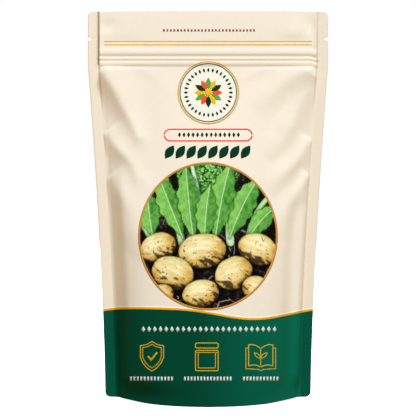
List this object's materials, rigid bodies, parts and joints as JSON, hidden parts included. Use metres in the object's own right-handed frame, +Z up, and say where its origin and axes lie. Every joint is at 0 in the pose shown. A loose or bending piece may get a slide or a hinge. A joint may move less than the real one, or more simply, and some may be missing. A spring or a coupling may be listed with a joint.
{
  "type": "stand-up seed pouch",
  "caption": "Resealable stand-up pouch of printed film with welded sides and top, tear notches, a press-to-close zip, an opened bottom gusset and seeds inside.",
  "frame": {"origin": "on the floor, under the middle of the standing pouch", "axes": "+Z up along the pouch's height, +X along its width to the right as its front is looked at, -Y out of the printed front wall"},
  "size_m": [0.13, 0.056, 0.2103],
  "materials": {
    "printed_film": "satin",
    "gusset_film": "satin",
    "zip_plastic": "satin",
    "seeds": "matte"
  },
  "bodies": {
    "root": {"film_front": "printed_film", "film_back": "printed_film", "film_gusset": "gusset_film", "zip_groove_strip": "zip_plastic", "zip_tongue_strip": "zip_plastic", "seed_fill": "seeds"}
  },
  "joints": []
}
